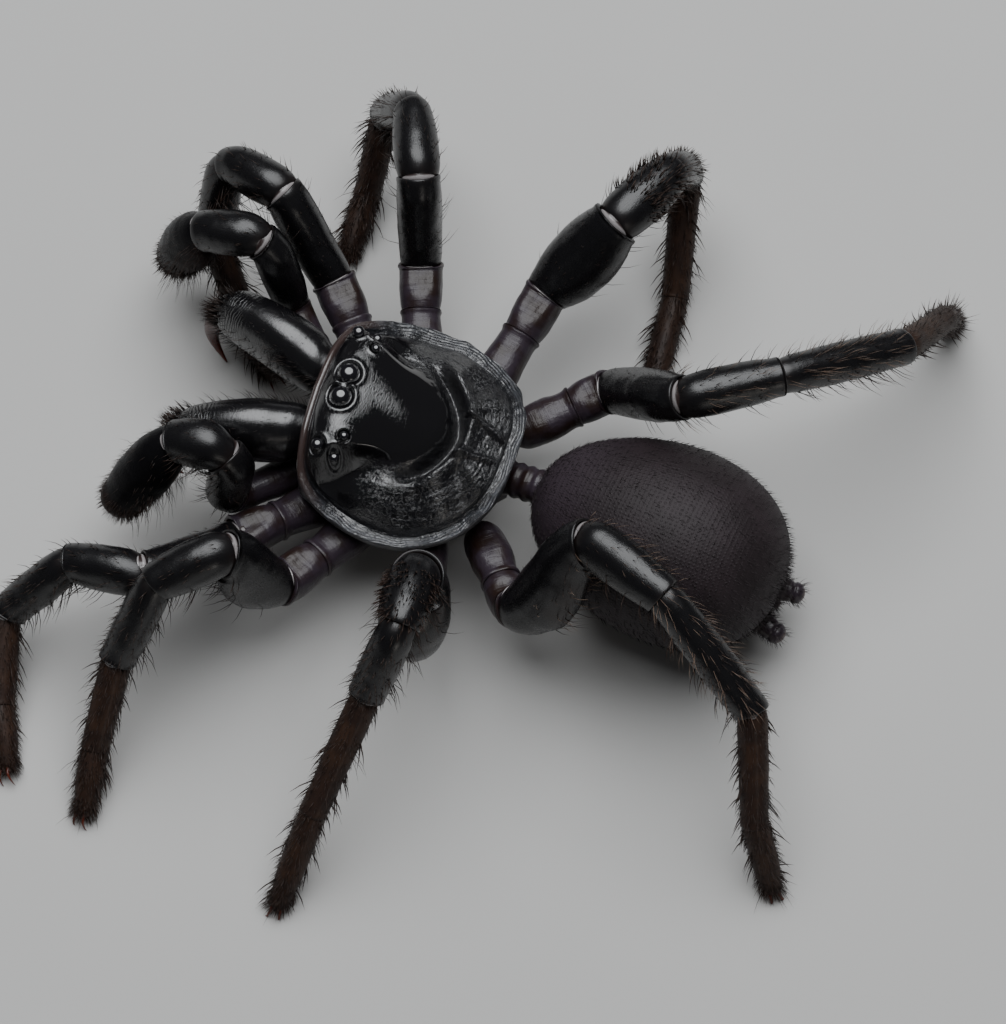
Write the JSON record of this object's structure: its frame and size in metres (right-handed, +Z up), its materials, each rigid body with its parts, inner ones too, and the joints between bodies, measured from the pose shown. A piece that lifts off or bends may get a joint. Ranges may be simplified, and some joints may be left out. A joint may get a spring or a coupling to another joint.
{
  "type": "trapdoor spider",
  "caption": "Stocky glossy black ground spider standing on bent legs, with a raised head, stout jaws with hooked fangs and an oval dull abdomen, as a still display figure.",
  "frame": {"origin": "on the floor, at the centre of the bottom of the box around the whole animal", "axes": "+Z up from the floor, -Y the way the head faces, +X the animal's left side"},
  "size_m": [0.0364, 0.0348, 0.0111],
  "materials": {
    "black_shell": "gloss",
    "hip_shell": "satin",
    "foot_shell": "satin",
    "fang": "gloss",
    "abdomen_skin": "matt",
    "eye": "gloss"
  },
  "bodies": {
    "root": {"carapace": "black_shell", "sternum": "hip_shell", "pedicel": "hip_shell", "abdomen": "abdomen_skin", "chelicera_left": "black_shell", "chelicera_right": "black_shell", "fang_left": "fang", "fang_right": "fang", "eye_median_left": "eye", "eye_median_right": "eye", "eye_lateral_left": "eye", "eye_lateral_right": "eye", "leg_1_left_hip": "hip_shell", "leg_1_left_femur": "black_shell", "leg_1_left_patella": "black_shell", "leg_1_left_tibia": "black_shell", "leg_1_left_foot": "foot_shell", "leg_1_right_hip": "hip_shell", "leg_1_right_femur": "black_shell", "leg_1_right_patella": "black_shell", "leg_1_right_tibia": "black_shell", "leg_1_right_foot": "foot_shell", "leg_2_left_hip": "hip_shell", "leg_2_left_femur": "black_shell", "leg_2_left_patella": "black_shell", "leg_2_left_tibia": "black_shell", "leg_2_left_foot": "foot_shell", "leg_2_right_hip": "hip_shell", "leg_2_right_femur": "black_shell", "leg_2_right_patella": "black_shell", "leg_2_right_tibia": "black_shell", "leg_2_right_foot": "foot_shell", "leg_3_left_hip": "hip_shell", "leg_3_left_femur": "black_shell", "leg_3_left_patella": "black_shell", "leg_3_left_tibia": "black_shell", "leg_3_left_foot": "foot_shell", "leg_3_right_hip": "hip_shell", "leg_3_right_femur": "black_shell", "leg_3_right_patella": "black_shell", "leg_3_right_tibia": "black_shell", "leg_3_right_foot": "foot_shell", "leg_4_left_hip": "hip_shell", "leg_4_left_femur": "black_shell", "leg_4_left_patella": "black_shell", "leg_4_left_tibia": "black_shell", "leg_4_left_foot": "foot_shell", "leg_4_right_hip": "hip_shell", "leg_4_right_femur": "black_shell", "leg_4_right_patella": "black_shell", "leg_4_right_tibia": "black_shell", "leg_4_right_foot": "foot_shell", "palp_left_hip": "hip_shell", "palp_left_femur": "black_shell", "palp_left_patella": "black_shell", "palp_left_tip": "black_shell", "palp_right_hip": "hip_shell", "palp_right_femur": "black_shell", "palp_right_patella": "black_shell", "palp_right_tip": "black_shell"}
  },
  "joints": []
}
